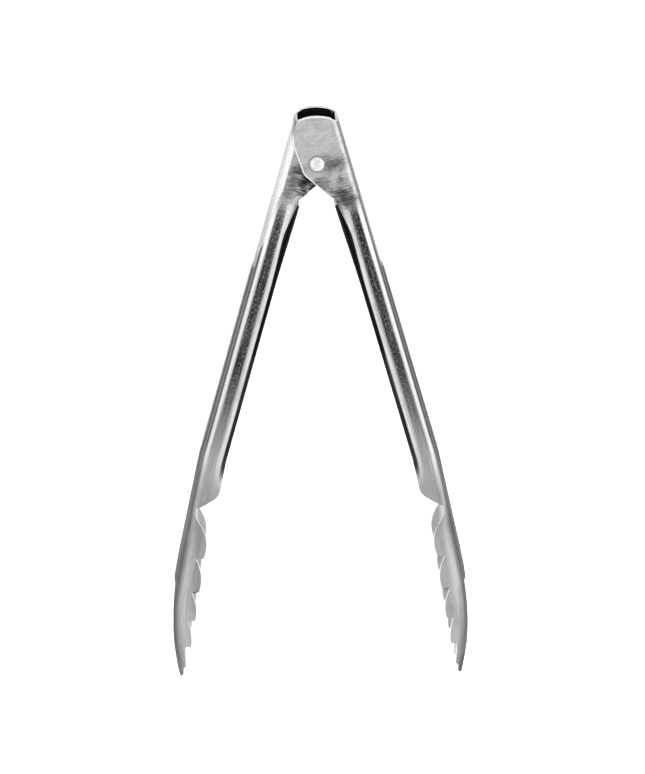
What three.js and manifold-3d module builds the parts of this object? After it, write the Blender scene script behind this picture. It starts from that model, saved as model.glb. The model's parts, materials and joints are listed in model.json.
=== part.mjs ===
// Spring-loaded kitchen tongs. Two stamped stainless-steel channel arms turn on one rivet and are
// pushed open by a torsion spring coiled on a sleeve between their ears. The outer arm's ears lie
// outside the inner arm's. Millimetres, +Z up: the tongs lie on their side with the rivet's axis
// along Z, the hinge end towards +Y, the claws towards -Y and the outer arm on the +X side.
import * as THREE from 'three';
import { mergeVertices } from 'three/addons/utils/BufferGeometryUtils.js';
import Module from 'manifold-3d';

// Driving dimensions
const SHEET = 1.0;               // the arms' sheet steel
const PIVOT_TO_TIP = 221;        // rivet to claw tip, along an arm
const PIVOT_TO_SPINE = 12.6;     // rivet to the outer face of an arm's spine
const OPEN_ANGLE = 31.6;         // degrees between the arms when the spring holds them open
const HINGE_WIDTH = 22;          // across the outer arm's ears
const HANDLE_WIDTH = 23;         // across both handles
const CLAW_WIDTH = 26;           // across both claws, at their widest
const FIT = 0.3;                 // running gap between neighbouring pieces
const SEAT = 0.1;                // gap under a seated head or washer

// Ears
const EAR_TOP_RADIUS = 19;       // the open hinge end is an arc about the rivet
const EAR_REACH = 7.0;           // how far an ear passes the rivet, away from its own spine
const EAR_HEEL = 3.2;            // along the arm, where the ear's straight inner edge ends
const EAR_END = 16.3;            // along the arm, where the ear's slanted lower edge ends
const EAR_END_OUT = 2.4;         // and its distance outwards there
const EAR_CORNER = 2.6;          // bend radius between spine and ear

// Handle: channel with its two edges rolled inwards
const HANDLE_CORNER = 3.0;
const ROLL_START = 13;           // along the arm, where the edges begin to roll
const ROLL_FULL = 19.5;
const ROLL_TURN = 1.8;           // radians
const ROLL_LENGTH = 8.2;         // sheet taken up by the roll
const FLANGE_FLAT = 2.5;         // flat side between corner and roll
const ROLL_FLARE = 2.2;          // next to the ears the roll is this much wider, at the flat's cost
const FLARE_DEPTH = 0.9;         // and the handle this much deeper
const FLARE_STOP = 55;           // along the arm, where both have died away
const WIDEN_START = 12;          // the inner arm keeps its hinge width up to here

// Stiffening rib along the spine
const RIB_HEIGHT = 0.8;
const RIB_START = 47;            // from the rivet
const RIB_STOP = 37;             // from the tip
const RIB_RUN = 2.5;             // length of a rib end's slope

// Claw: distances are from the tip towards the hinge
const CLAW_CORNER = 6.5;
const CLAW_LEAN = 0.065;         // the claw leans inwards by this slope
const CLAW_LEAN_START = 93;
const CLAW_HOOK = 10;            // and its end hooks inwards by this much more
const CLAW_HOOK_LENGTH = 56;
const CLAW_HOOK_POWER = 2.7;
const CLAW_NOSE = 34;            // length over which the claw narrows to its round tip
const NECK_FRONT = 73;           // where the handle's edges have been cut away
const NECK_BACK = 79;
const NECK_LENGTH = 4.4;         // the notch's straight bottom
const NECK_DEPTH = 2.0;          // side wall left at the neck
const LIP_RUN_OUT = 13;          // where the rolled edge opens out again, before the neck
const LIP_DEPTH = 10.1;          // side wall there
// Each tooth: where it ends, the depth of its crest, and the depth of the notch after it
const TEETH = [
  { end: 52.6, crest: 9.4, notch: 5.8 },
  { end: 38.7, crest: 10.0, notch: 6.5 },
  { end: 26.7, crest: 9.6, notch: 6.5 },
  { end: 15.3, crest: 7.8, notch: 5.0 },
  { end: 5.5, crest: 4.3, notch: 2.8 },
];
const TOOTH_STEP = 0.7;          // slant of a tooth's steep end

// Rivet, washers, sleeve and spring
const RIVET_DIAMETER = 4.0;
const RIVET_HEAD_DIAMETER = 5.7;
const RIVET_HEAD_HEIGHT = 1.2;
const WASHER_DIAMETER = 6.8;
const WASHER_THICKNESS = 0.4;
const SLEEVE_WALL = 0.8;
const WIRE = 1.6;                // spring wire diameter
const COIL_PITCH = 1.75;
const SPRING_LEG = 24;           // along the arm, where a leg presses on the spine

// Sizes that follow
const OPEN = THREE.MathUtils.degToRad(OPEN_ANGLE);
const EAR_OUTER_HALF = HINGE_WIDTH / 2;
const EAR_INNER_HALF = EAR_OUTER_HALF - SHEET - FIT;
const SPINE_INSIDE = PIVOT_TO_SPINE - SHEET;
const RIVET_RADIUS = RIVET_DIAMETER / 2;
const SLEEVE_BORE = RIVET_RADIUS + FIT;
const SLEEVE_RADIUS = SLEEVE_BORE + SLEEVE_WALL;
const SLEEVE_HALF = EAR_INNER_HALF - SHEET - FIT;
const COIL_RADIUS = SLEEVE_RADIUS + 2 * FIT + WIRE / 2;
const WASHER_SEAT = EAR_OUTER_HALF + SEAT;
const HEAD_SEAT = WASHER_SEAT + WASHER_THICKNESS + SEAT;
const BEYOND = 12;               // how far cutting shapes run past the sheet they cut

const wasm = await Module();
wasm.setup();

function toSolid(geometry) {
  const bare = geometry.clone();
  bare.deleteAttribute('normal');
  bare.deleteAttribute('uv');
  const merged = mergeVertices(bare, 1e-5);
  return new wasm.Manifold(new wasm.Mesh({
    numProp: 3,
    vertProperties: new Float32Array(merged.attributes.position.array),
    triVerts: new Uint32Array(merged.index.array),
  }));
}

function toGeometry(solid) {
  const mesh = solid.getMesh();
  const geometry = new THREE.BufferGeometry();
  geometry.setAttribute('position', new THREE.BufferAttribute(mesh.vertProperties, 3));
  geometry.setIndex(new THREE.BufferAttribute(mesh.triVerts, 1));
  geometry.computeVertexNormals();
  return geometry;
}

function steel(colour, roughness) {
  return new THREE.MeshStandardMaterial({ color: colour, roughness, metalness: 1.0 });
}

// Share of the way from start to stop, eased at both ends.
function ease(value, start, stop) {
  return THREE.MathUtils.smoothstep(value, start, stop);
}

// Outer face of the spine, measured outwards from the rivet's axis, without the rib.
function spineAt(along) {
  const fromTip = PIVOT_TO_TIP - along;
  const lean = CLAW_LEAN * Math.max(0, CLAW_LEAN_START - fromTip);
  const hook = Math.max(0, 1 - fromTip / CLAW_HOOK_LENGTH);
  return PIVOT_TO_SPINE - lean - CLAW_HOOK * hook ** CLAW_HOOK_POWER;
}

// Half the arm's outside width: hinge, handle, wide claw, round nose.
function halfWidthAt(along, hingeHalf) {
  const fromTip = PIVOT_TO_TIP - along;
  const handle = THREE.MathUtils.lerp(hingeHalf, HANDLE_WIDTH / 2, ease(along, WIDEN_START, ROLL_FULL + 4));
  const claw = THREE.MathUtils.lerp(handle, CLAW_WIDTH / 2, ease(-fromTip, -NECK_BACK, -TEETH[0].end));
  const nose = Math.max(0, 1 - (fromTip + 0.6) / CLAW_NOSE);
  return claw * Math.sqrt(1 - nose ** 2);
}

// The channel's section at one station, from its middle to one edge: points on the outer face with
// their outward normals. `out` is away from the other arm, `across` is along the rivet's axis.
function halfSection(along, hingeHalf) {
  const fromTip = PIVOT_TO_TIP - along;
  const half = halfWidthAt(along, hingeHalf);
  const spine = spineAt(along);
  const rolled = ease(along, ROLL_START, ROLL_FULL) * ease(fromTip, NECK_BACK, NECK_BACK + LIP_RUN_OUT);
  const toClaw = ease(-fromTip, -NECK_BACK, -TEETH[0].end);
  const bend = THREE.MathUtils.lerp(EAR_CORNER, HANDLE_CORNER, ease(along, 0, ROLL_FULL));
  const corner = Math.min(THREE.MathUtils.lerp(bend, CLAW_CORNER, toClaw), 0.75 * half);
  const ribFromHinge = ease(along, RIB_START, RIB_START + RIB_RUN);
  const ribFromTip = ease(fromTip, RIB_STOP, RIB_STOP + RIB_RUN);
  const rib = RIB_HEIGHT * ribFromHinge * ribFromTip;
  const flat = half - corner;
  const points = [
    { out: spine + rib, across: 0, angle: 0 },
    { out: spine + rib, across: 0.38 * flat, angle: 0 },
    { out: spine, across: 0.6 * flat, angle: 0 },
  ];
  for (const angle of [0, Math.PI / 6, Math.PI / 3, Math.PI / 2]) {
    points.push({
      out: spine - corner * (1 - Math.cos(angle)),
      across: flat + corner * Math.sin(angle),
      angle,
    });
  }
  const flare = 1 - ease(along, ROLL_FULL, FLARE_STOP);
  const side = spine - corner - FLANGE_FLAT + ROLL_FLARE * flare;
  const unrolledEar = side + EAR_REACH + 2;
  const ear = 1 - ease(along, ROLL_START, ROLL_FULL);
  const rollLength = ROLL_LENGTH + ROLL_TURN * (ROLL_FLARE + FLARE_DEPTH) * flare;
  const length = THREE.MathUtils.lerp(rollLength, unrolledEar, ear);
  const turn = Math.max(ROLL_TURN * rolled, 0.001);
  const steps = 5;
  for (let step = 0; step <= steps; step += 1) {
    const angle = (turn * step) / steps;
    points.push({
      out: side - (length / turn) * Math.sin(angle),
      across: half - (length / turn) * (1 - Math.cos(angle)),
      angle: Math.PI / 2 + angle,
    });
  }
  return points;
}

// One ring of vertices round the sheet: along the outer face from edge to edge and back along the
// inner face. Arm axes: X outwards, Y towards the hinge end, Z across.
function sheetRing(along, hingeHalf) {
  const half = halfSection(along, hingeHalf);
  const mirrored = half.slice(1).reverse().map((p) => ({ out: p.out, across: -p.across, angle: -p.angle }));
  const face = [...mirrored, ...half];
  const outer = face.map((p) => new THREE.Vector3(p.out, -along, p.across));
  const inner = face.map((p) => new THREE.Vector3(
    p.out - SHEET * Math.cos(p.angle),
    -along,
    p.across - SHEET * Math.sin(p.angle),
  ));
  return [...outer, ...inner.reverse()];
}

// Closed body through the rings, with a strip of quads as each end cap.
function loft(rings) {
  const count = rings[0].length;
  const positions = rings.flat().flatMap((p) => [p.x, p.y, p.z]);
  const index = [];
  const quad = (a, b, c, d) => index.push(a, c, b, a, d, c);
  for (let ring = 0; ring < rings.length - 1; ring += 1) {
    for (let i = 0; i < count; i += 1) {
      const next = (i + 1) % count;
      const here = ring * count;
      const there = here + count;
      quad(here + i, there + i, there + next, here + next);
    }
  }
  const last = (rings.length - 1) * count;
  for (let i = 0; i < count / 2 - 1; i += 1) {
    const across = count - 1 - i;
    quad(i, i + 1, across - 1, across);
    quad(last + i, last + across, last + across - 1, last + i + 1);
  }
  const geometry = new THREE.BufferGeometry();
  geometry.setAttribute('position', new THREE.Float32BufferAttribute(positions, 3));
  geometry.setIndex(index);
  return geometry;
}

// Stations along an arm, close together only where the section changes.
function stations() {
  const list = [-EAR_TOP_RADIUS - 2, WIDEN_START];
  const add = (from, to, pieces) => {
    for (let i = 0; i <= pieces; i += 1) {
      list.push(from + ((to - from) * i) / pieces);
    }
  };
  const claw = PIVOT_TO_TIP - NECK_BACK;
  add(ROLL_START, ROLL_FULL + 4, 6);
  add(ROLL_FULL + 10, RIB_START - 5, 2);
  add(RIB_START, RIB_START + RIB_RUN, 2);
  add(claw - LIP_RUN_OUT, claw, 4);
  add(claw + 4, PIVOT_TO_TIP - RIB_STOP - RIB_RUN, 8);
  add(PIVOT_TO_TIP - RIB_STOP - RIB_RUN / 2, PIVOT_TO_TIP - RIB_STOP, 1);
  add(PIVOT_TO_TIP - CLAW_NOSE, PIVOT_TO_TIP - 4, 7);
  add(PIVOT_TO_TIP - 2, PIVOT_TO_TIP, 1);
  return list;
}

// Side view of an arm: everything inside this outline is kept.
function sideOutline() {
  const shape = new THREE.Shape();
  const topOut = PIVOT_TO_SPINE + BEYOND;
  const crest = Math.sqrt(EAR_TOP_RADIUS ** 2 - PIVOT_TO_SPINE ** 2);
  const depthAt = (fromTip, depth) => [spineAt(PIVOT_TO_TIP - fromTip) - depth, fromTip - PIVOT_TO_TIP];
  shape.moveTo(topOut, crest);
  shape.lineTo(PIVOT_TO_SPINE, crest);
  const start = Math.atan2(crest, PIVOT_TO_SPINE);
  const stop = Math.PI / 2 + 0.06;
  shape.absarc(0, 0, EAR_TOP_RADIUS, start, stop, false);
  shape.quadraticCurveTo(-EAR_REACH + 1, EAR_TOP_RADIUS - 2.6, -EAR_REACH, EAR_TOP_RADIUS - 9.5);
  shape.lineTo(-EAR_REACH + 0.6, -EAR_HEEL + 1.6);
  shape.quadraticCurveTo(-EAR_REACH + 0.7, -EAR_HEEL, -EAR_REACH + 1.9, -EAR_HEEL - 1.6);
  shape.lineTo(EAR_END_OUT, -EAR_END);
  shape.quadraticCurveTo(EAR_END_OUT + 0.4, -EAR_END - 1, EAR_END_OUT, -ROLL_FULL);
  shape.lineTo(-BEYOND, -ROLL_FULL);
  shape.lineTo(-BEYOND, NECK_BACK + LIP_RUN_OUT - PIVOT_TO_TIP);
  shape.lineTo(...depthAt(NECK_BACK + LIP_RUN_OUT, LIP_DEPTH));
  shape.lineTo(...depthAt(NECK_BACK + 3, LIP_DEPTH));
  shape.quadraticCurveTo(...depthAt(NECK_BACK, LIP_DEPTH), ...depthAt(NECK_BACK - 2.4, LIP_DEPTH - 3));
  shape.quadraticCurveTo(
    ...depthAt(NECK_FRONT + 0.6, LIP_DEPTH - 6),
    ...depthAt(NECK_FRONT, NECK_DEPTH + 1),
  );
  shape.quadraticCurveTo(...depthAt(NECK_FRONT - 0.2, NECK_DEPTH), ...depthAt(NECK_FRONT - 1.6, NECK_DEPTH));
  let from = NECK_FRONT - NECK_LENGTH;
  shape.lineTo(...depthAt(from, NECK_DEPTH + 0.6));
  for (const tooth of TEETH) {
    const length = from - tooth.end;
    shape.bezierCurveTo(
      ...depthAt(from - 0.35 * length, tooth.crest),
      ...depthAt(from - 0.6 * length, tooth.crest + 0.4),
      ...depthAt(tooth.end + TOOTH_STEP, tooth.crest - 0.3),
    );
    shape.lineTo(...depthAt(tooth.end, tooth.notch));
    from = tooth.end;
  }
  shape.quadraticCurveTo(...depthAt(1.5, 1.9), ...depthAt(-1, SHEET));
  shape.lineTo(topOut, -PIVOT_TO_TIP - 1);
  return shape;
}

function outlineSolid(half) {
  const options = { depth: 2 * half, bevelEnabled: false, curveSegments: 8 };
  const prism = new THREE.ExtrudeGeometry(sideOutline(), options);
  prism.translate(0, 0, -half);
  return toSolid(prism);
}

function rivetHole() {
  const bar = new THREE.CylinderGeometry(RIVET_RADIUS + FIT, RIVET_RADIUS + FIT, 2 * HINGE_WIDTH, 24);
  bar.rotateX(Math.PI / 2);
  return toSolid(bar);
}

function armSolid(hingeHalf) {
  const sheet = toSolid(loft(stations().map((along) => sheetRing(along, hingeHalf))));
  const widest = Math.max(HANDLE_WIDTH, CLAW_WIDTH, HINGE_WIDTH) / 2 + 1;
  return sheet.intersect(outlineSolid(widest)).subtract(rivetHole());
}

// Fully open, the inner arm's ears rest in the outer arm's bends, between its spine and its ears.
// This block stands there, seen from the inner arm, and gives the ears their straight stop edge.
function openStopBlock() {
  const bend = EAR_CORNER - SHEET;
  const stop = PIVOT_TO_SPINE - EAR_CORNER + Math.sqrt(bend ** 2 - (bend - FIT) ** 2) - FIT;
  const block = new THREE.BoxGeometry(BEYOND, 4 * EAR_TOP_RADIUS, 2 * HINGE_WIDTH);
  block.translate(-stop - BEYOND / 2, 0, 0);
  block.rotateZ(-OPEN);
  return toSolid(block);
}

function named(name, geometry, material) {
  const mesh = new THREE.Mesh(geometry, material);
  mesh.name = name;
  return mesh;
}

const outerArm = named('outer_arm', toGeometry(armSolid(EAR_OUTER_HALF)), steel(0xb4b3b0, 0.34));
const innerSolid = armSolid(EAR_INNER_HALF).subtract(openStopBlock());
const innerArm = named('inner_arm', toGeometry(innerSolid), steel(0xb4b3b0, 0.34));

// A solid turned about the rivet's axis, from a profile of radius and height.
function turned(profile, segments = 28) {
  const geometry = new THREE.LatheGeometry(profile.map(([r, z]) => new THREE.Vector2(r, z)), segments);
  geometry.rotateX(Math.PI / 2);
  return geometry;
}

// One rivet holds everything: a straight shank with a dome head at each end.
function rivetProfile() {
  const radius = RIVET_HEAD_DIAMETER / 2;
  const dome = (sign) => [0, 0.25, 0.5, 0.75, 1].map((share) => {
    const angle = (share * Math.PI) / 2;
    const height = HEAD_SEAT + 0.2 + (RIVET_HEAD_HEIGHT - 0.2) * Math.sin(angle);
    return [radius * Math.cos(angle), sign * height];
  });
  return [
    ...dome(-1).reverse(),
    [radius, -HEAD_SEAT],
    [RIVET_RADIUS, -HEAD_SEAT],
    [RIVET_RADIUS, HEAD_SEAT],
    [radius, HEAD_SEAT],
    ...dome(1),
  ];
}

function ringProfile(bore, radius, low, high) {
  return [[bore, low], [radius, low], [radius, high], [bore, high], [bore, low]];
}

const rivet = named('pivot_rivet', turned(rivetProfile()), steel(0xd6d6d4, 0.22));
const washerBore = RIVET_RADIUS + FIT;
const washerRing = ringProfile(washerBore, WASHER_DIAMETER / 2, WASHER_SEAT, WASHER_SEAT + WASHER_THICKNESS);
const frontWasher = named('front_washer', turned(washerRing), steel(0xc4c4c2, 0.3));
const backWasher = named('back_washer', turned(washerRing), steel(0xc4c4c2, 0.3));
backWasher.rotation.y = Math.PI;
const sleeveRing = ringProfile(SLEEVE_BORE, SLEEVE_RADIUS, -SLEEVE_HALF, SLEEVE_HALF);
const sleeve = named('spacer_sleeve', turned(sleeveRing), steel(0x9c9a96, 0.45));

// Torsion spring: a close coil round the sleeve, its two straight legs running off it on a tangent
// to press on the inside of each spine. Whole turns that fit between the ears, plus the part turn
// that carries the wire from one leg over the hinge end to the other.
class SpringPath extends THREE.Curve {
  constructor() {
    super();
    const out = SPINE_INSIDE - FIT - WIRE / 2;
    const reach = Math.hypot(out, SPRING_LEG);
    this.leg = Math.sqrt(reach ** 2 - COIL_RADIUS ** 2);
    const endAngle = Math.atan2(-SPRING_LEG, out) + OPEN / 2;
    this.start = endAngle + Math.acos(COIL_RADIUS / reach);
    const room = 2 * SLEEVE_HALF - WIRE - 2 * FIT;
    const partTurn = Math.PI - 2 * this.start;
    const wholeTurns = Math.floor(Math.min(room, 9) / COIL_PITCH - partTurn / (2 * Math.PI));
    this.sweep = partTurn + wholeTurns * 2 * Math.PI;
    this.rise = (this.sweep / (2 * Math.PI)) * COIL_PITCH;
    this.coil = Math.hypot(this.sweep * COIL_RADIUS, this.rise);
  }

  getPoint(t, target = new THREE.Vector3()) {
    const length = t * (2 * this.leg + this.coil);
    const turnedBy = THREE.MathUtils.clamp((length - this.leg) / this.coil, 0, 1);
    const angle = this.start + this.sweep * turnedBy;
    const beyond = length < this.leg ? length - this.leg : Math.max(0, length - this.leg - this.coil);
    return target.set(
      COIL_RADIUS * Math.cos(angle) - beyond * Math.sin(angle),
      COIL_RADIUS * Math.sin(angle) + beyond * Math.cos(angle),
      this.rise * (0.5 - turnedBy),
    );
  }
}

function springGeometry() {
  const section = new THREE.Shape();
  const sides = 8;
  for (let i = 0; i < sides; i += 1) {
    const angle = (i * 2 * Math.PI) / sides;
    const point = [(WIRE / 2) * Math.cos(angle), (WIRE / 2) * Math.sin(angle)];
    if (i === 0) {
      section.moveTo(...point);
    } else {
      section.lineTo(...point);
    }
  }
  const path = new SpringPath();
  path.arcLengthDivisions = 800;
  const stepLength = (2 * Math.PI * COIL_RADIUS) / 16;
  const steps = Math.round((2 * path.leg + path.coil) / stepLength);
  return new THREE.ExtrudeGeometry(section, { steps, bevelEnabled: false, extrudePath: path });
}

const spring = named('torsion_spring', springGeometry(), steel(0x8f8f8f, 0.3));

// Assembly about the rivet: each arm is swung out by half the opening angle.
const outerSide = new THREE.Group();
outerSide.rotation.z = OPEN / 2;
outerSide.add(outerArm);
const innerSide = new THREE.Group();
innerSide.rotation.z = -OPEN / 2;
innerArm.rotation.y = Math.PI;
innerSide.add(innerArm);

const tongs = new THREE.Group();
tongs.add(outerSide, innerSide, rivet, frontWasher, backWasher, sleeve, spring);

// The origin goes to the middle of the bottom of the whole object, as it lies on its side.
tongs.updateMatrixWorld(true);
const bounds = new THREE.Box3().setFromObject(tongs, true);
const middle = bounds.getCenter(new THREE.Vector3());
tongs.position.set(-middle.x, -middle.y, -bounds.min.z);

export default tongs;
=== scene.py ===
# Spring-loaded kitchen tongs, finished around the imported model. They lie on their side on a pale
# floor, seen from above. The arms' sizes are in millimetres, everything placed is in metres.
import json
import math

import bmesh
import bpy
import numpy as np
from mathutils import Matrix, Vector


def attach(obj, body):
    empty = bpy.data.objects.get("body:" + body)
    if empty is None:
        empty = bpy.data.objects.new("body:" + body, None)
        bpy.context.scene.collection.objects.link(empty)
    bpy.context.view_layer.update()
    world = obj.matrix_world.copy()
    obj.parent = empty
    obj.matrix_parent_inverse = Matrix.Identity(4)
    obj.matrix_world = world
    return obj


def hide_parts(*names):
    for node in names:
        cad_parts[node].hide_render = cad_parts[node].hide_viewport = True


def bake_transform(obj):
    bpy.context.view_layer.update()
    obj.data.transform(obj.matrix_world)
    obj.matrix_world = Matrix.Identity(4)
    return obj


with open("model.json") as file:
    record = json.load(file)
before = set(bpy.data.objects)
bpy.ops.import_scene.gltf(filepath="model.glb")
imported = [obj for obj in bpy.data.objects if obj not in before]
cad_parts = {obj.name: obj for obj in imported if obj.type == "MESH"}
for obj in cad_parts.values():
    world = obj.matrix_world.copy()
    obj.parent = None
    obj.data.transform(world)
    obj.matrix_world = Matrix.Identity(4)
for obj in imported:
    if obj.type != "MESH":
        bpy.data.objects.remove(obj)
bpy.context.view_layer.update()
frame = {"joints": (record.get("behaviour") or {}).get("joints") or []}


# Camera: a long lens above the tongs, tipped a little towards the hinge end, so that the hinge
# end is at the top of the frame.
PIVOT = Vector(next(j for j in frame["joints"] if j["name"] == "arm_pivot")["pos_m"])
CAMERA_TILT = math.radians(14.6)
CAMERA_SIDE = math.radians(-1.2)
CAMERA_ROLL = math.radians(-0.46)
CAMERA_DISTANCE = 2.4
CAMERA_LENS = 279.2
CAMERA_SENSOR = 36
AIM_ASIDE = 0.00164
AIM_BELOW_RIVET = 0.09372
aim = Vector((AIM_ASIDE, PIVOT.y - AIM_BELOW_RIVET, PIVOT.z))
back = Vector((math.sin(CAMERA_SIDE), math.sin(CAMERA_TILT), math.cos(CAMERA_TILT))).normalized()
level = Vector((0, 1, 0)).cross(back).normalized()
right = level * math.cos(CAMERA_ROLL) + back.cross(level) * math.sin(CAMERA_ROLL)
up = back.cross(right)
lens = bpy.data.cameras.new("camera")
lens.lens = CAMERA_LENS
lens.sensor_width = CAMERA_SENSOR
lens.clip_end = 20
camera = bpy.data.objects.new("camera", lens)
facing = Matrix((right, up, back)).transposed().to_4x4()
camera.matrix_world = Matrix.Translation(aim + back * CAMERA_DISTANCE) @ facing
bpy.context.scene.collection.objects.link(camera)
bpy.context.scene.camera = camera
bpy.context.scene.view_settings.view_transform = "Standard"


def add(tree, kind, sockets=None, **settings):
    """A shader node with its settings, and with its inputs set or joined."""
    made = tree.nodes.new(kind)
    for key, value in settings.items():
        setattr(made, key, value)
    for name, value in (sockets or {}).items():
        if isinstance(value, bpy.types.NodeSocket):
            tree.links.new(value, made.inputs[name])
        else:
            made.inputs[name].default_value = value
    return made


def calc(tree, operation, *values):
    """The result of one sum on numbers or sockets."""
    return add(tree, "ShaderNodeMath", dict(enumerate(values)), operation=operation).outputs[0]


def band(tree, value, start, stop, low=0.0, high=1.0):
    """Goes smoothly from low to high as value goes from start to stop."""
    sockets = {"Value": value, 1: start, 2: stop, 3: low, 4: high}
    return add(tree, "ShaderNodeMapRange", sockets, interpolation_type="SMOOTHSTEP").outputs[0]


# Studio: a pale sweep under the tongs, a soft surround that is dim straight overhead and below,
# a wide wash over the floor, and a softbox on each side for the long highlights.
surround = bpy.data.worlds.new("studio_surround")
surround.use_nodes = True
bpy.context.scene.world = surround
sky = surround.node_tree
sky.nodes.clear()
towards = add(sky, "ShaderNodeTexCoord").outputs["Generated"]
height = add(sky, "ShaderNodeSeparateXYZ", {0: towards}).outputs["Z"]
glow = add(sky, "ShaderNodeValToRGB", {0: calc(sky, "MULTIPLY_ADD", height, 0.5, 0.5)})
SURROUND_STOPS = (
    (0.0, 0.80), (0.05, 0.70), (0.14, 0.20), (0.47, 0.14), (0.55, 0.80),
    (0.63, 1.35), (0.82, 1.35), (0.92, 1.05), (0.965, 0.46), (1.0, 0.36),
)
glow.color_ramp.elements[0].position = SURROUND_STOPS[0][0]
glow.color_ramp.elements[1].position = SURROUND_STOPS[-1][0]
for position, _ in SURROUND_STOPS[1:-1]:
    glow.color_ramp.elements.new(position)
for element, (_, grey) in zip(glow.color_ramp.elements, SURROUND_STOPS):
    element.color = (grey, grey, grey, 1)
shine = add(sky, "ShaderNodeBackground", {"Color": glow.outputs["Color"], "Strength": 1.0})
add(sky, "ShaderNodeOutputWorld", {"Surface": shine.outputs[0]})


def softbox(name, place, size, watts, in_reflections=True):
    """A rectangular studio light that faces the tongs."""
    light = bpy.data.lights.new(name, "AREA")
    light.shape = "RECTANGLE"
    light.size, light.size_y = size
    light.energy = watts
    lamp = bpy.data.objects.new(name, light)
    place = Vector(place)
    towards_aim = (place - aim).to_track_quat("Z", "Y").to_matrix().to_4x4()
    lamp.matrix_world = Matrix.Translation(place) @ towards_aim
    lamp.visible_camera = False
    lamp.visible_glossy = in_reflections
    bpy.context.scene.collection.objects.link(lamp)


softbox("floor_wash", (0, 0.1, 1.7), (1.8, 1.8), 90, in_reflections=False)
softbox("softbox_right", (1.0, 0.1, 0.62), (0.4, 1.4), 3.2)
softbox("softbox_left", (-1.0, 0.1, 0.62), (0.4, 1.4), 1.6)

SWEEP_HALF = 6.0
SWEEP_CELLS = 24
SWEEP_DROP = 0.0002
sweep = bmesh.new()
bmesh.ops.create_grid(sweep, x_segments=SWEEP_CELLS, y_segments=SWEEP_CELLS, size=SWEEP_HALF)
sweep_mesh = bpy.data.meshes.new("floor")
sweep.to_mesh(sweep_mesh)
sweep.free()
floor = bpy.data.objects.new("floor", sweep_mesh)
floor.location.z = -SWEEP_DROP
floor.visible_glossy = False
bpy.context.scene.collection.objects.link(floor)
paper = bpy.data.materials.new("sweep_paper")
paper.use_nodes = True
matt = paper.node_tree.nodes["Principled BSDF"]
matt.inputs["Base Color"].default_value = (0.9, 0.9, 0.9, 1)
matt.inputs["Roughness"].default_value = 0.9
matt.inputs["Specular IOR Level"].default_value = 0.0
sweep_mesh.materials.append(paper)


# Arms: each is one stamping of 1 mm stainless sheet, bent to a channel. It has two flat ears at
# the hinge, a handle with its edges rolled inwards, a rib pressed into the spine, and a scalloped
# claw. Sizes are in millimetres: along the arm from the rivet, outwards, and across.
SHEET = 1.0
PIVOT_TO_TIP = 221
PIVOT_TO_SPINE = 12.6
OPEN = math.radians(31.6)
OUTER_EAR_HALF = 11.0
INNER_EAR_HALF = 9.7
HANDLE_HALF = 11.5
CLAW_HALF = 13.0
EAR_TOP_RADIUS = 19
EAR_REACH = 7.0
EAR_HEEL = 3.2
EAR_END = 16.3
EAR_END_OUT = 2.4
EAR_CORNER = 2.6
HANDLE_CORNER = 3.0
ROLL_START = 13
ROLL_FULL = 19.5
ROLL_TURN = 1.8
ROLL_LENGTH = 8.2
FLANGE_FLAT = 2.5
ROLL_FLARE = 2.2    # below the ears the roll is this much wider, at the flat's cost
FLARE_DEPTH = 0.9   # and the handle this much deeper
FLARE_STOP = 55     # down to here
WIDEN_START = 12
RIB_HEIGHT = 0.8
RIB_START = 47
RIB_STOP = 37
RIB_RUN = 2.5
RIB_CROWN = 0.38    # half width of its flat top, as a share of the spine's flat half
RIB_FOOT = 0.6
CLAW_CORNER = 6.5
CLAW_LEAN = 0.065
CLAW_LEAN_START = 93
CLAW_HOOK = 10
CLAW_HOOK_LENGTH = 56
CLAW_HOOK_POWER = 2.7
CLAW_NOSE = 34
NECK_FRONT = 73
NECK_BACK = 79
NECK_LENGTH = 4.4
NECK_DEPTH = 2.0
LIP_RUN_OUT = 13
LIP_DEPTH = 10.1
TEETH = (           # where each ends, from the tip, its crest and the notch after it
    (52.6, 9.4, 5.8), (38.7, 10.0, 6.5), (26.7, 9.6, 6.5), (15.3, 7.8, 5.0), (5.5, 4.3, 2.8),
)
TOOTH_STEP = 0.7
STOP_BEND = EAR_CORNER - SHEET
STOP_GAP = 0.3
STOP_LINE = (
    PIVOT_TO_SPINE - EAR_CORNER + math.sqrt(STOP_BEND ** 2 - (STOP_BEND - STOP_GAP) ** 2) - STOP_GAP
)
EDGE_ROUND = 0.4
RIVET_HOLE = 2.3
INSIDE = 10    # added to the sheet map on the inner face, to tell it from the outer one
RIM = 20       # and on the rim


def ease(value, start, stop):
    """Share of the way from start to stop, eased at both ends."""
    share = np.clip((value - start) / (stop - start), 0, 1)
    return share * share * (3 - 2 * share)


def blend_to(low, high, share):
    """Goes straight from low to high as share goes from 0 to 1."""
    return low + (high - low) * share


def spine_at(along):
    """Outer face of the spine, outwards from the rivet, without the rib."""
    from_tip = PIVOT_TO_TIP - along
    lean = CLAW_LEAN * np.maximum(0, CLAW_LEAN_START - from_tip)
    hook = np.maximum(0, 1 - from_tip / CLAW_HOOK_LENGTH)
    return PIVOT_TO_SPINE - lean - CLAW_HOOK * hook ** CLAW_HOOK_POWER


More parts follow.
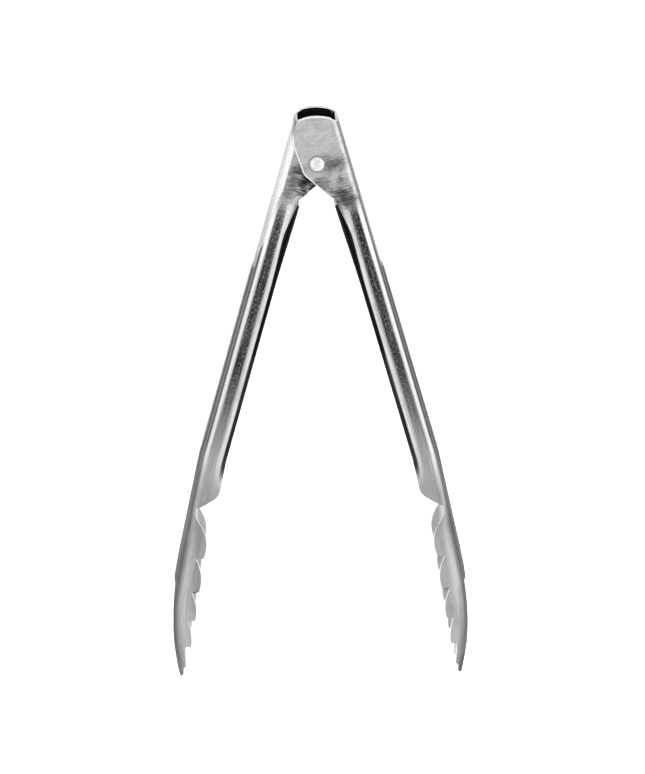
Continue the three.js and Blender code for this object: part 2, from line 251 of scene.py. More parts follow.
def section_sizes(along, ear_half):
    """Half width, corner radius, spine, side flat, roll radius and roll length of the channel."""
    from_tip = PIVOT_TO_TIP - along
    to_claw = ease(-from_tip, -NECK_BACK, -TEETH[0][0])
    handle = blend_to(ear_half, HANDLE_HALF, ease(along, WIDEN_START, ROLL_FULL + 4))
    nose = np.clip(1 - (from_tip + 0.6) / CLAW_NOSE, 0, 1)
    half = blend_to(handle, CLAW_HALF, to_claw) * np.sqrt(1 - nose ** 2)
    bend = blend_to(EAR_CORNER, HANDLE_CORNER, ease(along, 0, ROLL_FULL))
    corner = np.minimum(blend_to(bend, CLAW_CORNER, to_claw), 0.75 * half)
    spine = spine_at(along)
    rolled = ease(along, ROLL_START, ROLL_FULL) * ease(from_tip, NECK_BACK, NECK_BACK + LIP_RUN_OUT)
    flare = 1 - ease(along, ROLL_FULL, FLARE_STOP)
    flange = FLANGE_FLAT - ROLL_FLARE * flare
    ear = 1 - ease(along, ROLL_START, ROLL_FULL)
    unrolled = spine - corner - flange + EAR_REACH + 2
    length = blend_to(ROLL_LENGTH + ROLL_TURN * (ROLL_FLARE + FLARE_DEPTH) * flare, unrolled, ear)
    return half, corner, spine, flange, length / np.maximum(ROLL_TURN * rolled, 0.001), length


def on_sheet(along, path, ear_half):
    """Outwards and across positions on the outer face, and the angle of its normal, at a distance
    along the arm and a path length over the section from the spine's middle."""
    half, corner, spine, flange, roll_radius, _ = section_sizes(along, ear_half)
    from_tip = PIVOT_TO_TIP - along
    flat = half - corner
    gone = np.abs(path)
    bent = np.clip((gone - flat) / corner, 0, math.pi / 2)
    after = np.maximum(gone - flat - corner * math.pi / 2, 0)
    rolled = np.maximum(after - flange, 0) / roll_radius
    rib_ends = ease(along, RIB_START, RIB_START + RIB_RUN) * ease(from_tip, RIB_STOP, RIB_STOP + RIB_RUN)
    rib = RIB_HEIGHT * rib_ends * (1 - ease(gone / flat, RIB_CROWN, RIB_FOOT))
    out = spine + rib - corner * (1 - np.cos(bent)) - np.minimum(after, flange)
    out = out - roll_radius * np.sin(rolled)
    across = np.minimum(gone, flat) + corner * np.sin(bent) - roll_radius * (1 - np.cos(rolled))
    return out, np.sign(path) * across, np.sign(path) * (bent + rolled)


def curve(*corners, steps=24):
    """Points on a Bezier curve through its first and last corner."""
    share = np.linspace(0, 1, steps)[:, None]
    points = [np.array(corner, float) + 0 * share for corner in corners]
    while len(points) > 1:
        points = [a + (b - a) * share for a, b in zip(points, points[1:])]
    return points[0]


def ear_outline(stops):
    """Ear's edge as rows of (along, out): round the hinge end, down its back and over its heel to
    where the roll begins. Stopped ears have the straight edge that rests in the other arm's bends."""
    begin = math.atan2(math.sqrt(EAR_TOP_RADIUS ** 2 - PIVOT_TO_SPINE ** 2), PIVOT_TO_SPINE)
    finish = math.pi / 2 + 0.06
    turn = np.linspace(begin, finish, 60)
    arc = np.stack([-EAR_TOP_RADIUS * np.sin(turn), EAR_TOP_RADIUS * np.cos(turn)], 1)
    shoulder = curve(arc[-1], (2.6 - EAR_TOP_RADIUS, 1 - EAR_REACH), (9.5 - EAR_TOP_RADIUS, -EAR_REACH))
    back_edge = curve(shoulder[-1], (EAR_HEEL - 1.6, 0.6 - EAR_REACH), steps=30)
    heel = curve(back_edge[-1], (EAR_HEEL, 0.7 - EAR_REACH), (EAR_HEEL + 1.6, 1.9 - EAR_REACH))
    slant = curve(heel[-1], (EAR_END, EAR_END_OUT), steps=40)
    toe = curve(slant[-1], (EAR_END + 1, EAR_END_OUT + 0.4), (ROLL_FULL, EAR_END_OUT))
    line = np.concatenate([arc, shoulder[1:], back_edge[1:], heel[1:], slant[1:], toe[1:]])
    if stops:
        way = np.array([math.sin(OPEN), math.cos(OPEN)])
        short = np.maximum(-STOP_LINE - line @ way, 0)
        line = line + short[:, None] * way
    corner = len(arc) - 1 + len(shoulder) // 2
    return line, corner


def claw_outline():
    """The claw's free edge as rows of (distance from the tip, depth below the spine)."""
    parts = [
        curve((NECK_BACK + LIP_RUN_OUT, LIP_DEPTH), (NECK_BACK + 3, LIP_DEPTH), steps=4),
        curve((NECK_BACK + 3, LIP_DEPTH), (NECK_BACK, LIP_DEPTH), (NECK_BACK - 2.4, LIP_DEPTH - 3)),
        curve(
            (NECK_BACK - 2.4, LIP_DEPTH - 3),
            (NECK_FRONT + 0.6, LIP_DEPTH - 6),
            (NECK_FRONT, NECK_DEPTH + 1),
        ),
        curve((NECK_FRONT, NECK_DEPTH + 1), (NECK_FRONT - 0.2, NECK_DEPTH), (NECK_FRONT - 1.6, NECK_DEPTH)),
    ]
    begin = (NECK_FRONT - NECK_LENGTH, NECK_DEPTH + 0.6)
    for end, crest, notch in TEETH:
        length = begin[0] - end
        parts.append(curve(
            begin,
            (begin[0] - 0.35 * length, crest),
            (begin[0] - 0.6 * length, crest + 0.4),
            (end + TOOTH_STEP, crest - 0.3),
            steps=40,
        ))
        begin = (end, notch)
    parts.append(curve(begin, (1.5, 1.9), (-1, SHEET)))
    return np.concatenate(parts)


EDGE_STEP = 0.05       # between the places where the free edge is looked for
EDGE_EASE = 0.2        # its corners are eased over this length
EDGE_SAMPLES = 700     # over the section
EAR_FOOT_ROWS = 64     # of the ear's outline, from its heel to the roll
FAR_OUT = -99.0        # beyond any section, where nothing is cut away


def edge_paths(ear_half, ear_line):
    """Path length at the free edge, in small steps below the ears."""
    along = np.arange(ROLL_START - 1, PIVOT_TO_TIP + 1, EDGE_STEP)
    limit = np.full(along.shape, FAR_OUT)
    lower = ear_line[-EAR_FOOT_ROWS:]
    near = along <= ROLL_FULL
    limit[near] = np.interp(along[near], lower[:, 0], lower[:, 1])
    claw = claw_outline()[::-1]
    far = along >= PIVOT_TO_TIP - NECK_BACK - LIP_RUN_OUT
    depth = np.interp(PIVOT_TO_TIP - along[far], claw[:, 0], claw[:, 1])
    limit[far] = spine_at(along[far]) - depth
    half, corner, _, flange, _, length = section_sizes(along, ear_half)
    full = half - corner + corner * math.pi / 2 + flange + length
    path = full[:, None] * np.linspace(0, 1, EDGE_SAMPLES)
    out, _, _ = on_sheet(along[:, None], path, ear_half)
    cut = out <= limit[:, None]
    first = np.where(cut.any(1), cut.argmax(1), EDGE_SAMPLES - 1)
    ends = path[np.arange(len(along)), first]
    reach = round(3.5 * EDGE_EASE / EDGE_STEP)
    spread = np.exp(-0.5 * (np.arange(-reach, reach + 1) * EDGE_STEP / EDGE_EASE) ** 2)
    ends = np.convolve(np.pad(ends, reach, mode="edge"), spread / spread.sum(), mode="valid")
    return along, ends


def stations():
    """Rows below the ears, close together where the edge or the section changes."""
    spans = [
        (ROLL_START, ROLL_FULL - 0.6, 0.4), (ROLL_FULL - 0.6, ROLL_FULL + 0.9, 0.12),
        (ROLL_FULL + 0.9, RIB_START - 1, 1.0), (RIB_START - 1, RIB_START + RIB_RUN + 1, 0.3),
        (RIB_START + RIB_RUN + 1, PIVOT_TO_TIP - NECK_BACK - LIP_RUN_OUT, 1.2),
        (PIVOT_TO_TIP - NECK_BACK - LIP_RUN_OUT, PIVOT_TO_TIP - NECK_BACK - 1, 0.5),
        (PIVOT_TO_TIP - NECK_BACK - 1, PIVOT_TO_TIP - TEETH[0][0] - 15, 0.22),
        (PIVOT_TO_TIP - TEETH[0][0] - 15, PIVOT_TO_TIP, 0.42),
    ]
    rows = [np.arange(start, stop, step) for start, stop, step in spans]
    rows += [np.arange(PIVOT_TO_TIP - end - 1.3, PIVOT_TO_TIP - end + 0.6, 0.12) for end, _, _ in TEETH]
    rows = np.unique(np.concatenate([*rows, [PIVOT_TO_TIP]]))
    kept = [rows[0]]
    for row in rows[1:]:
        if row - kept[-1] > 0.07:
            kept.append(row)
    return np.array(kept)


CROWN_SHARES = np.array([0, 0.12, 0.24, 0.34, 0.38, 0.42, 0.46, 0.5, 0.54, 0.58, 0.62, 0.72, 0.86])
SIDE_SHARES = np.linspace(0, 1, 42) ** 1.3
EAR_ROWS = 70
TIP_BOW = 0.9       # the last rows bow back by this much at the sheet's edge
TIP_BOW_LENGTH = 3


def arm_grid(ear_half, stops):
    """Distance along and path length of every grid point on one half of the outer face."""
    line, corner_at = ear_outline(stops)
    along_fine, ends_fine = edge_paths(ear_half, line)

    def end_of(along):
        return np.interp(along, along_fine, ends_fine)

    # Ear: a patch between the bend, the rounded hinge end, the ear's edge and the first station.
    def past_bend(points):
        half, corner, spine, _, _, _ = section_sizes(points[:, 0], ear_half)
        drop = spine - points[:, 1]
        bent = np.arccos(np.clip(1 - drop / corner, 0, 1)) * corner
        return np.where(drop < corner, bent, corner * math.pi / 2 + drop - corner)

    top = line[:corner_at + 1]
    top = np.stack([top[:, 0], past_bend(top)], 1)
    side = line[corner_at:]
    side = side[side[:, 0] < ROLL_START]
    side = np.stack([side[:, 0], past_bend(side)], 1)
    half, corner, _, _, _, _ = section_sizes(np.array([float(ROLL_START)]), ear_half)
    first_end = end_of(ROLL_START) - (half - corner)[0]
    side = np.vstack([side, [ROLL_START, first_end]])
    gone = np.concatenate([[0], np.cumsum(np.linalg.norm(np.diff(side, axis=0), axis=1))])
    share_down = np.linspace(0, 1, EAR_ROWS)
    left = np.stack([np.interp(share_down * gone[-1], gone, side[:, k]) for k in (0, 1)], 1)
    crest = top[0, 0]
    seam = np.stack([blend_to(crest, ROLL_START, share_down), 0 * share_down], 1)
    u = SIDE_SHARES[None, :, None]
    v = share_down[:, None, None]
    reach = SIDE_SHARES * top[-1, 1]
    head = np.stack([np.interp(reach, top[:, 1], top[:, 0]), reach], 1)[None]
    foot = np.stack([np.full(len(SIDE_SHARES), float(ROLL_START)), SIDE_SHARES * first_end], 1)[None]
    patch = (1 - v) * head + v * foot + (1 - u) * seam[:, None] + u * left[:, None]
    patch -= (1 - u) * (1 - v) * head[:, :1] + u * (1 - v) * head[:, -1:]
    patch -= (1 - u) * v * foot[:, :1] + u * v * foot[:, -1:]
    half, corner, _, _, _, _ = section_sizes(patch[:, :, 0], ear_half)
    ear_side = patch[:, :, 1] + half - corner
    crown_along = np.repeat(seam[:, :1], len(CROWN_SHARES), 1)
    half, corner, _, _, _, _ = section_sizes(crown_along, ear_half)
    ear_crown = CROWN_SHARES[None] * (half - corner)

    # Handle and claw: straight rows across the arm, each as long as the sheet reaches there.
    rows = stations()[1:]
    half, corner, _, _, _, _ = section_sizes(rows, ear_half)
    flat = (half - corner)[:, None]
    crown = CROWN_SHARES[None] * flat
    sides = flat + SIDE_SHARES[None] * (end_of(rows)[:, None] - flat)
    straight = np.repeat(rows[:, None], crown.shape[1] + sides.shape[1], 1)
    whole = np.concatenate([crown, sides], 1)
    bow = TIP_BOW * ease(straight, PIVOT_TO_TIP - TIP_BOW_LENGTH, PIVOT_TO_TIP)
    straight = straight - bow * (whole / whole[:, -1:]) ** 2

    along = np.concatenate([np.concatenate([crown_along, patch[:, :, 0]], 1), straight])
    path = np.concatenate([np.concatenate([ear_crown, ear_side], 1), whole])
    return along, path


def arm(name, ear_half, stops, swing):
    """The finished stamping, swung about the rivet to its place at rest."""
    along, path = arm_grid(ear_half, stops)
    along = np.concatenate([along[:, :0:-1], along], 1)
    path = np.concatenate([-path[:, :0:-1], path], 1)
    out, across, angle = on_sheet(along, path, ear_half)
    outer = np.stack([out, -along, across], 2)
    normal = np.stack([np.cos(angle), 0 * angle, np.sin(angle)], 2)
    inner = outer - SHEET * normal
    rows, columns = along.shape
    number = np.arange(rows * columns).reshape(rows, columns)

    # Rim: the loop round the sheet's edge, eased over on both faces.
    loop = np.concatenate([number[0], number[1:, -1], number[-1, -2::-1], number[-2:0:-1, 0]])
    edge = outer.reshape(-1, 3)[loop]
    facing = normal.reshape(-1, 3)[loop]
    ahead = np.roll(edge, -1, 0) - np.roll(edge, 1, 0)
    outwards = np.cross(facing, ahead)
    outwards /= np.maximum(np.linalg.norm(outwards, axis=1, keepdims=True), 1e-9)
    if outwards[columns // 2, 1] < 0:
        outwards = -outwards
    rings = []
    for turn in (0, math.pi / 4, math.pi / 2):
        pull = EDGE_ROUND * (1 - math.sin(turn))
        sink = EDGE_ROUND * (1 - math.cos(turn))
        rings.append((pull, sink))
    rings += [(pull, SHEET - sink) for pull, sink in reversed(rings)]
    laid = [edge - pull * outwards - sink * facing for pull, sink in rings]
    outer = outer.reshape(-1, 3)
    inner = inner.reshape(-1, 3)
    outer[loop] = laid[0]
    inner[loop] = laid[-1]
    count = rows * columns
    points = np.concatenate([outer, inner, *laid[1:-1]])
    names = [loop] + [2 * count + k * len(loop) + np.arange(len(loop)) for k in range(4)] + [loop + count]

    quads = np.stack([number[:-1, :-1], number[:-1, 1:], number[1:, 1:], number[1:, :-1]], 2).reshape(-1, 4)
    faces = [quads, quads[:, ::-1] + count]
    for here, there in zip(names, names[1:]):
        faces.append(np.stack([here, there, np.roll(there, -1), np.roll(here, -1)], 1))
    faces = np.concatenate(faces)
    sheet_map = np.stack([path.reshape(-1), along.reshape(-1)], 1) / 100
    sheet_map = np.concatenate([sheet_map, sheet_map, *([sheet_map[loop]] * 4)])

    mesh = bpy.data.meshes.new(name)
    mesh.from_pydata((points / 1000).tolist(), [], faces.tolist())
    layer = mesh.uv_layers.new(name="sheet")
    corners = np.zeros(len(mesh.loops), int)
    mesh.loops.foreach_get("vertex_index", corners)
    laid_out = sheet_map[corners]
    laid_out[4 * len(quads):8 * len(quads), 1] += INSIDE
    laid_out[8 * len(quads):, 1] += RIM
    layer.data.foreach_set("uv", laid_out.astype(np.float32).ravel())
    mesh.transform(Matrix.Translation(PIVOT) @ swing)
    made = bpy.data.objects.new(name, mesh)
    bpy.context.scene.collection.objects.link(made)

    # The rivet's hole is punched through both ears.
    bar = bmesh.new()
    bore = RIVET_HOLE / 1000
    through = 3 * OUTER_EAR_HALF / 1000
    bmesh.ops.create_cone(bar, cap_ends=True, segments=72, radius1=bore, radius2=bore, depth=through)
    punch_mesh = bpy.data.meshes.new("punch")
    bar.to_mesh(punch_mesh)
    bar.free()
    punch = bpy.data.objects.new("punch", punch_mesh)
    punch.location = PIVOT
    bpy.context.scene.collection.objects.link(punch)
    hole = made.modifiers.new("hole", "BOOLEAN")
    hole.operation = "DIFFERENCE"
    hole.solver = "EXACT"
    hole.object = punch
    bpy.context.view_layer.update()
    cut = bpy.data.meshes.new_from_object(made.evaluated_get(bpy.context.evaluated_depsgraph_get()))
    made.modifiers.clear()
    made.data = cut
    cut.name = name
    bpy.data.objects.remove(punch)
    smooth = bmesh.new()
    smooth.from_mesh(cut)
    bmesh.ops.recalc_face_normals(smooth, faces=smooth.faces)
    for face in smooth.faces:
        face.smooth = True
    for line in smooth.edges:
        line.smooth = line.calc_face_angle(0) < math.radians(50)
    smooth.to_mesh(cut)
    smooth.free()
    return made


outer_arm = arm("outer_arm_sheet", OUTER_EAR_HALF, False, Matrix.Rotation(OPEN / 2, 4, "Z"))
over = Matrix.Rotation(-OPEN / 2, 4, "Z") @ Matrix.Rotation(math.pi, 4, "Y")
inner_arm = arm("inner_arm_sheet", INNER_EAR_HALF, True, over)


def steel(name, grey, rough):
    """Plain stainless steel to start from."""
    made = bpy.data.materials.new(name)
    made.use_nodes = True
    tree = made.node_tree
    shader = tree.nodes["Principled BSDF"]
    shader.inputs["Metallic"].default_value = 1.0
    shader.inputs["Base Color"].default_value = (grey, grey, grey, 1)
    shader.inputs["Roughness"].default_value = rough
    return made, tree, shader


# Colour of the sheet, from its plain tone to its darkest marks and painted shade.
STEEL_TONES = (
    (0.0, (0.72, 0.715, 0.705)), (0.35, (0.455, 0.45, 0.445)), (0.7, (0.17, 0.16, 0.17)),
    (1.0, (0.016, 0.015, 0.016)),
)


def arm_finish(name, spots, bend_shade, panel):
    """Stamped stainless: ears brushed across the arm, handle and claw drawn along it. Each spot is a
    dark patch at (across, along) with its two radii and its depth, in millimetres. Bend shade is
    painted shade that greys the bend beside the spine and dims its highlight. The panel is a pale
    field on the spine, rougher and a little less metallic. The sheet map, and so every band below,
    is in tenths of a metre."""
    made, tree, shader = steel(name, 0.56, 0.3)
    where = add(tree, "ShaderNodeUVMap", uv_map="sheet").outputs["UV"]
    split = add(tree, "ShaderNodeSeparateXYZ", {0: where})
    rim = calc(tree, "GREATER_THAN", split.outputs["Y"], (INSIDE + RIM) / 2)
    not_outer = calc(tree, "GREATER_THAN", split.outputs["Y"], INSIDE / 2)
    inside = calc(tree, "SUBTRACT", not_outer, rim)
    along = calc(tree, "MULTIPLY_ADD", inside, -INSIDE, split.outputs["Y"])
    along = calc(tree, "MULTIPLY_ADD", rim, -RIM, along)
    across = split.outputs["X"]
    outwards = calc(tree, "ABSOLUTE", across)
    plain = add(tree, "ShaderNodeCombineXYZ", {"X": across, "Y": along, "Z": inside}).outputs[0]
    on_ear = band(tree, along, 0.16, 0.30, 1.0, 0.0)
    on_claw = band(tree, along, 1.18, 1.40)

    def noise(scale, detail, roughness, distortion, stretch=(1, 1, 1), turn=0.0):
        laid = add(tree, "ShaderNodeMapping", {"Vector": plain, "Scale": stretch, "Rotation": (0, 0, turn)})
        return add(tree, "ShaderNodeTexNoise", {
            "Vector": laid.outputs[0], "Scale": scale, "Detail": detail, "Roughness": roughness,
            "Distortion": distortion,
        }).outputs["Fac"]

    def product(*values):
        whole = values[0]
        for value in values[1:]:
            whole = calc(tree, "MULTIPLY", whole, value)
        return whole

    def without(value):
        return calc(tree, "SUBTRACT", 1.0, value)

    ear_grain = noise(1.0, 6.0, 0.66, 0.3, (16, 620, 1), 0.06)
    drawn_grain = noise(1.0, 5.0, 0.6, 0.15, (520, 5, 1))
    blotch = noise(20.0, 7.0, 0.66, 0.6)
    specks = noise(170.0, 3.0, 0.7, 0.2, (1, 0.55, 1))
    grain = calc(tree, "ADD", product(ear_grain, on_ear), product(drawn_grain, without(on_ear)))

    # Marks and painted light, as a share of darkness: a general mottling, a cloudy claw whose inner
    # face is painted paler as a painted reflection, and the dark spots, the deepest of which is painted
    # shade.
    mottle = band(tree, calc(tree, "MULTIPLY_ADD", ear_grain, 0.25, blotch), 0.6, 0.9)
    dark = product(mottle, 0.24, without(on_claw))
    cloud = band(tree, noise(9.0, 3.0, 0.5, 0.3, (1, 0.4, 1)), 0.35, 0.7, 0.24, 0.46)
    # The claw's inner face is painted paler: a painted reflection of its bright inner wall.
    claw_tone = calc(tree, "MULTIPLY_ADD", inside, -0.38, cloud)
    for middle_across, middle_along, radius_across, radius_along, depth in spots:
        aside = calc(tree, "MULTIPLY_ADD", across, 100 / radius_across, -middle_across / radius_across)
        below = calc(tree, "MULTIPLY_ADD", along, 100 / radius_along, -middle_along / radius_along)
        far = calc(tree, "SQRT", calc(tree, "ADD", product(aside, aside), product(below, below)))
        ragged = calc(tree, "MULTIPLY_ADD", calc(tree, "SUBTRACT", blotch, 0.5), 2.2, far)
        streaky = calc(tree, "MULTIPLY_ADD", calc(tree, "SUBTRACT", grain, 0.5), 1.5, ragged)
        spot = product(band(tree, streaky, 1.25, 0.1), depth, without(inside))
        dark = calc(tree, "MAXIMUM", dark, spot)

    # The handle's flat side is painted dark with bright specks, a painted reflection of the dim sky
    # overhead. Under the rolled edge it is painted darkest, as painted shade, in a wedge that opens below
    # the ears, and so is the closed space between the ears; the rest of the inner face gets lighter painted
    # shade.
    on_flange = product(
        band(tree, outwards, 0.122, 0.132), band(tree, outwards, 0.166, 0.156),
        band(tree, along, 0.13, 0.26), band(tree, along, 1.28, 0.85),
    )
    # Painted reflection: the flange is darkened where it mirrors the dim sky overhead, less at the specks.
    flange_reflection = calc(tree, "MULTIPLY_ADD", band(tree, specks, 0.50, 0.66), -0.50, 0.70)
    dark = calc(tree, "MAXIMUM", dark, product(on_flange, flange_reflection))
    wedge = band(tree, along, 0.15, 0.33, 0.033, 0.0)
    wedge = calc(tree, "ADD", wedge, band(tree, along, 0.3, 0.55, 0.0, 0.006))
    turned_under = calc(tree, "SUBTRACT", outwards, wedge)
    # Painted shade under the rolled edge, in a wedge that opens below the ears.
    under_roll_shade = product(
        band(tree, turned_under, 0.176, 0.182), band(tree, along, 0.16, 0.19),
        band(tree, outwards, 0.196, 0.216, 1.0, 0.84),
        band(tree, along, 0.86, 0.77, 0.76, 1.0), band(tree, along, 1.42, 1.28),
    )
    dark = calc(tree, "MAXIMUM", dark, under_roll_shade)
    # Painted shade on the inner face, darkest in the closed space between the ears.
    hinge_shade = product(inside, band(tree, along, 0.45, 0.20, 0.25, 0.96), without(on_claw))
    dark = calc(tree, "MAXIMUM", dark, hinge_shade)
    dark = calc(tree, "MAXIMUM", dark, product(on_claw, claw_tone))

    # Streaks of the grain, fainter on the claw, and painted shade that greys the bend and dims its
    # highlight. Cut edges stay bright.
    streak_depth = calc(tree, "MULTIPLY_ADD", on_claw, -0.16, 0.34)
    dark = calc(tree, "ADD", dark, product(band(tree, grain, 0.62, 0.38), streak_depth))
    on_bend = product(
        band(tree, outwards, 0.070, 0.085), band(tree, outwards, 0.138, 0.128), band(tree, along, 0.3, 0.5),
    )
    # Painted shade on the bend beside the spine, dimming its highlight.
    dark = calc(tree, "MAXIMUM", dark, product(on_bend, bend_shade, without(on_claw)))
    dark = product(dark, without(rim))
    colour = add(tree, "ShaderNodeValToRGB", {0: dark})
    colour.color_ramp.elements[1].position = STEEL_TONES[-1][0]
    for position, _ in STEEL_TONES[1:-1]:
        colour.color_ramp.elements.new(position)
    for element, (_, tone) in zip(colour.color_ramp.elements, STEEL_TONES):
        element.color = (*tone, 1)
    rough = calc(tree, "MULTIPLY_ADD", on_ear, 0.24, 0.22)
    rough = calc(tree, "MULTIPLY_ADD", on_claw, 0.24, rough)
    rough = calc(tree, "MULTIPLY_ADD", grain, 0.14, rough)
    rough = calc(tree, "MULTIPLY_ADD", rim, 0.25, rough)
    base = colour.outputs["Color"]
    metal = calc(tree, "MULTIPLY_ADD", rim, -0.22, 1.0)
    if panel:
        start, stop, half = panel
        from_middle = calc(tree, "ABSOLUTE", calc(tree, "SUBTRACT", along, (start + stop) / 200))
        past_straight = calc(tree, "SUBTRACT", from_middle, (stop - start) / 200 - half / 100)
        tip = calc(tree, "MAXIMUM", past_straight, 0.0)
        round_end = calc(tree, "SQRT", calc(tree, "ADD", product(tip, tip), product(across, across)))
        field = product(band(tree, round_end, half / 100 + 0.002, half / 100 - 0.002), without(inside))
        frost = noise(230.0, 2.0, 0.5, 0.0)
        field_tone = add(tree, "ShaderNodeMix", {
            0: band(tree, frost, 0.52, 0.64), 6: (0.88, 0.88, 0.88, 1), 7: (0.46, 0.46, 0.47, 1),
        }, data_type="RGBA").outputs[2]
        base = add(tree, "ShaderNodeMix", {0: field, 6: base, 7: field_tone}, data_type="RGBA").outputs[2]
        rough = calc(tree, "MULTIPLY_ADD", field, 0.34, rough)
        metal = calc(tree, "MULTIPLY_ADD", field, -0.12, metal)
    tree.links.new(base, shader.inputs["Base Color"])
    tree.links.new(rough, shader.inputs["Roughness"])
    tree.links.new(metal, shader.inputs["Metallic"])
    relief = calc(tree, "MULTIPLY_ADD", specks, 0.35, grain)
    bump = add(tree, "ShaderNodeBump", {"Strength": 0.45, "Distance": 0.00006, "Height": relief})
    tree.links.new(bump.outputs[0], shader.inputs["Normal"])
    return made


OUTER_SPOTS = (
    (17.0, 1.5, 7.0, 5.0, 0.52), (16.0, 15.5, 5.5, 8.5, 0.66), (23.0, 8.5, 6.0, 4.0, 0.42),
    (-18.0, 6.0, 7.0, 8.0, 0.5),
)
# The first and deepest inner spot is painted shade on the inner arm's ear beside the outer ear's edge.
INNER_SPOTS = (
    (-20.5, 5.5, 8.0, 11.0, 0.98), (-14.0, 9.0, 4.5, 12.0, 0.5), (19.0, 4.0, 7.0, 8.0, 0.5),
)
# A pale, rougher, slightly less metallic field on the inner arm's spine near the hinge.
PALE_SPINE_FIELD = (-12.0, 44.5, 11.0)
outer_steel = arm_finish("stamped_stainless", OUTER_SPOTS, 0.42, None)
inner_steel = arm_finish("stamped_stainless_panelled", INNER_SPOTS, 0.34, PALE_SPINE_FIELD)
for sheet, finish in ((outer_arm, outer_steel), (inner_arm, inner_steel)):
    sheet.data.materials.clear()
    sheet.data.materials.append(finish)
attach(outer_arm, "outer_side")
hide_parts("outer_arm")
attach(inner_arm, "inner_side")
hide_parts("inner_arm")


# Rivet: one steel rivet through both arms, its two heads pressed to low domes. Its shank runs
# through the washers, the ears and the sleeve.
RIVET_RADIUS = 2.0
HEAD_RADIUS = 2.85
HEAD_SEAT = 11.6
HEAD_TOP = 12.8
HEAD_LIP = 0.2
HEAD_EASE = 0.08


def turned(name, profile, material, steps=96):
    """A piece turned about the rivet's axis, from a closed profile of radius and height."""
    lathe = bmesh.new()
    rings = []
    for radius, height in profile:
        if radius < 1e-6:
            rings.append([lathe.verts.new((0, 0, height / 1000))])
            continue
        turns = [2 * math.pi * k / steps for k in range(steps)]
        rings.append([
            lathe.verts.new((radius * math.cos(t) / 1000, radius * math.sin(t) / 1000, height / 1000))
            for t in turns
        ])
    for low, high in zip(rings, rings[1:] + rings[:1]):
        for k in range(steps):
            ring = [
                low[k % len(low)], low[(k + 1) % len(low)],
                high[(k + 1) % len(high)], high[k % len(high)],
            ]
            corners = list(dict.fromkeys(ring))
            if len(corners) > 2:
                lathe.faces.new(corners)
    bmesh.ops.recalc_face_normals(lathe, faces=lathe.faces)
    for face in lathe.faces:
        face.smooth = True
    for line in lathe.edges:
        line.smooth = line.calc_face_angle(0) < math.radians(40)
    mesh = bpy.data.meshes.new(name)
    lathe.to_mesh(mesh)
    lathe.free()
    mesh.transform(Matrix.Translation(PIVOT))
    mesh.materials.append(material)
    made = bpy.data.objects.new(name, mesh)
    bpy.context.scene.collection.objects.link(made)
    return made


def piece_finish(name, grey, rough, scale):
    """Bright turned or drawn steel with fine marks."""
    made, tree, shader = steel(name, grey, rough)
    where = add(tree, "ShaderNodeTexCoord").outputs["Object"]
    marks = add(tree, "ShaderNodeTexNoise", {
        "Vector": where, "Scale": scale, "Detail": 6.0, "Roughness": 0.65,
    }).outputs["Fac"]
    clean = (grey, grey, grey, 1)
    marked = (0.7 * grey, 0.68 * grey, 0.68 * grey, 1)
    shade = add(tree, "ShaderNodeMix", {
        0: band(tree, marks, 0.35, 0.7), 6: clean, 7: marked,
    }, data_type="RGBA").outputs[2]
    tree.links.new(shade, shader.inputs["Base Color"])
    tree.links.new(band(tree, marks, 0.3, 0.7, rough - 0.05, rough + 0.12), shader.inputs["Roughness"])
    bump = add(tree, "ShaderNodeBump", {"Strength": 0.3, "Distance": 0.00005, "Height": marks})
    tree.links.new(bump.outputs[0], shader.inputs["Normal"])
    return made


dome_foot = HEAD_SEAT + HEAD_LIP
dome_turns = [k * math.pi / 28 for k in range(14)]
dome = [(HEAD_RADIUS * math.cos(t), dome_foot + (HEAD_TOP - dome_foot) * math.sin(t)) for t in dome_turns]
dome.append((0, HEAD_TOP))
under_head = [
    (RIVET_RADIUS, HEAD_SEAT),
    (HEAD_RADIUS - HEAD_EASE, HEAD_SEAT),
    (HEAD_RADIUS, HEAD_SEAT + HEAD_EASE),
]
head = under_head + dome
rivet_profile = [(radius, -height) for radius, height in reversed(head)] + head
rivet_steel = piece_finish("rivet_steel", 0.92, 0.5, 900)
rivet = turned("rivet", rivet_profile, rivet_steel)
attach(rivet, "outer_side")
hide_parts("pivot_rivet")


# Washers: a thin stamped ring under each rivet head, with its edges eased.
WASHER_BORE = 2.3
WASHER_RADIUS = 3.4
WASHER_SEAT = 11.1
WASHER_THICKNESS = 0.4
WASHER_EASE = 0.1


def ring_profile(bore, radius, low, high, eased):
    """Section of a ring, round its four eased corners."""
    return [
        (bore, low + eased), (bore + eased, low), (radius - eased, low), (radius, low + eased),
        (radius, high - eased), (radius - eased, high), (bore + eased, high), (bore, high - eased),
    ]


washer_steel = piece_finish("washer_steel", 0.6, 0.28, 1400)
for name, node, sign in (("washer_front", "front_washer", 1), ("washer_back", "back_washer", -1)):
    low, high = sorted((sign * WASHER_SEAT, sign * (WASHER_SEAT + WASHER_THICKNESS)))
    washer = turned(name, ring_profile(WASHER_BORE, WASHER_RADIUS, low, high, WASHER_EASE), washer_steel)
    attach(washer, "outer_side")
    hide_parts(node)


# Sleeve: a plain steel tube on the rivet between the inner arm's ears. It holds them apart and
# carries the spring.
SLEEVE_BORE = 2.3
SLEEVE_RADIUS = 3.1
SLEEVE_HALF = 8.4
SLEEVE_EASE = 0.15
sleeve_steel = piece_finish("sleeve_steel", 0.42, 0.4, 700)
sleeve_profile = ring_profile(SLEEVE_BORE, SLEEVE_RADIUS, -SLEEVE_HALF, SLEEVE_HALF, SLEEVE_EASE)
sleeve = turned("sleeve", sleeve_profile, sleeve_steel)
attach(sleeve, "outer_side")
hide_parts("spacer_sleeve")


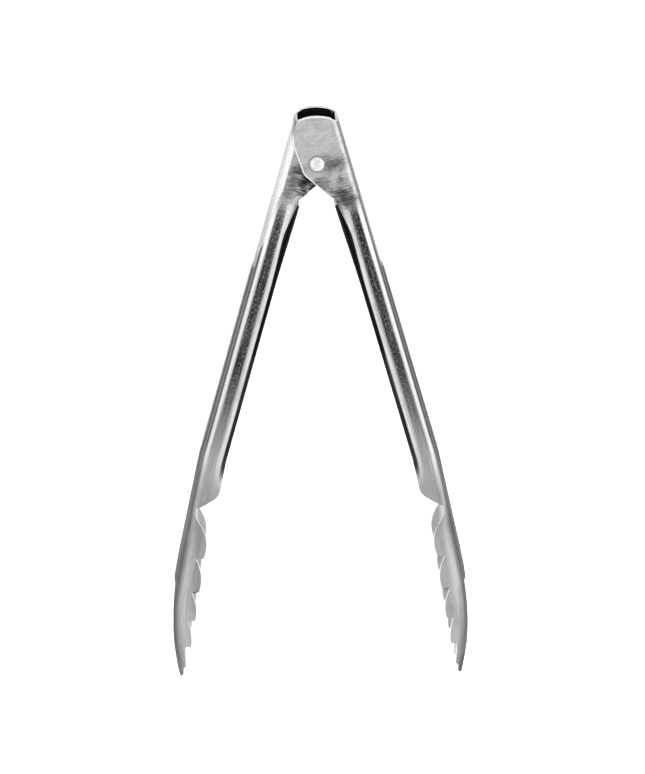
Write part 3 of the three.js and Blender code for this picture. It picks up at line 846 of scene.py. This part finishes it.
# Spring: round spring wire, closely coiled on the sleeve, with two straight legs that press the
# spines apart.
WIRE = 1.6
COIL_RADIUS = 4.5
COIL_PITCH = 1.75
SPRING_LEG = 24
COIL_ROOM = 9
WIRE_SIDES = 16
WIRE_STEPS = 700
WIRE_EASE = 0.15    # at the wire's cut ends
leg_out = PIVOT_TO_SPINE - SHEET - STOP_GAP - WIRE / 2
reach = math.hypot(leg_out, SPRING_LEG)
leg_length = math.sqrt(reach ** 2 - COIL_RADIUS ** 2)
leg_angle = math.atan2(-SPRING_LEG, leg_out) + OPEN / 2
coil_start = leg_angle + math.acos(COIL_RADIUS / reach)
part_turn = math.pi - 2 * coil_start
whole_turns = math.floor(COIL_ROOM / COIL_PITCH - part_turn / (2 * math.pi))
sweep_angle = part_turn + whole_turns * 2 * math.pi
rise = sweep_angle / (2 * math.pi) * COIL_PITCH
coil_length = math.hypot(sweep_angle * COIL_RADIUS, rise)
wire_length = 2 * leg_length + coil_length
gone = np.linspace(0, wire_length, WIRE_STEPS)
wound = np.clip((gone - leg_length) / coil_length, 0, 1)
angle = coil_start + sweep_angle * wound
beyond = np.where(gone < leg_length, gone - leg_length, np.maximum(0, gone - leg_length - coil_length))
wire_path = np.stack([
    COIL_RADIUS * np.cos(angle) - beyond * np.sin(angle),
    COIL_RADIUS * np.sin(angle) + beyond * np.cos(angle),
    rise * (0.5 - wound),
], 1)
along_wire = np.gradient(wire_path, axis=0)
along_wire /= np.linalg.norm(along_wire, axis=1, keepdims=True)
beside = np.cross(along_wire, (0, 0, 1))
beside /= np.linalg.norm(beside, axis=1, keepdims=True)
above = np.cross(beside, along_wire)
coiler = bmesh.new()
wire_rings = []
thick = WIRE / 2
thin = thick - WIRE_EASE
last = len(gone) - 1
sections = [(0, thin, 0), (0, thick, WIRE_EASE)]
sections += [(k, thick, 0) for k in range(3, last - 2)]
sections += [(last, thick, -WIRE_EASE), (last, thin, 0)]
for k, radius, shift in sections:
    ring = []
    middle = wire_path[k] + shift * along_wire[k]
    for side in range(WIRE_SIDES):
        turn = 2 * math.pi * side / WIRE_SIDES
        spoke = math.cos(turn) * beside[k] + math.sin(turn) * above[k]
        ring.append(coiler.verts.new((middle + radius * spoke) / 1000))
    wire_rings.append(ring)
for low, high in zip(wire_rings, wire_rings[1:]):
    for side in range(WIRE_SIDES):
        following = (side + 1) % WIRE_SIDES
        coiler.faces.new((low[side], low[following], high[following], high[side]))
coiler.faces.new(wire_rings[0])
coiler.faces.new(wire_rings[-1])
bmesh.ops.recalc_face_normals(coiler, faces=coiler.faces)
for face in coiler.faces:
    face.smooth = True
spring_mesh = bpy.data.meshes.new("spring")
coiler.to_mesh(spring_mesh)
coiler.free()
spring_mesh.transform(Matrix.Translation(PIVOT))
spring_steel = piece_finish("spring_steel", 0.5, 0.26, 800)
spring_mesh.materials.append(spring_steel)
spring = bpy.data.objects.new("spring", spring_mesh)
bpy.context.scene.collection.objects.link(spring)
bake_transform(spring)
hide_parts("torsion_spring")
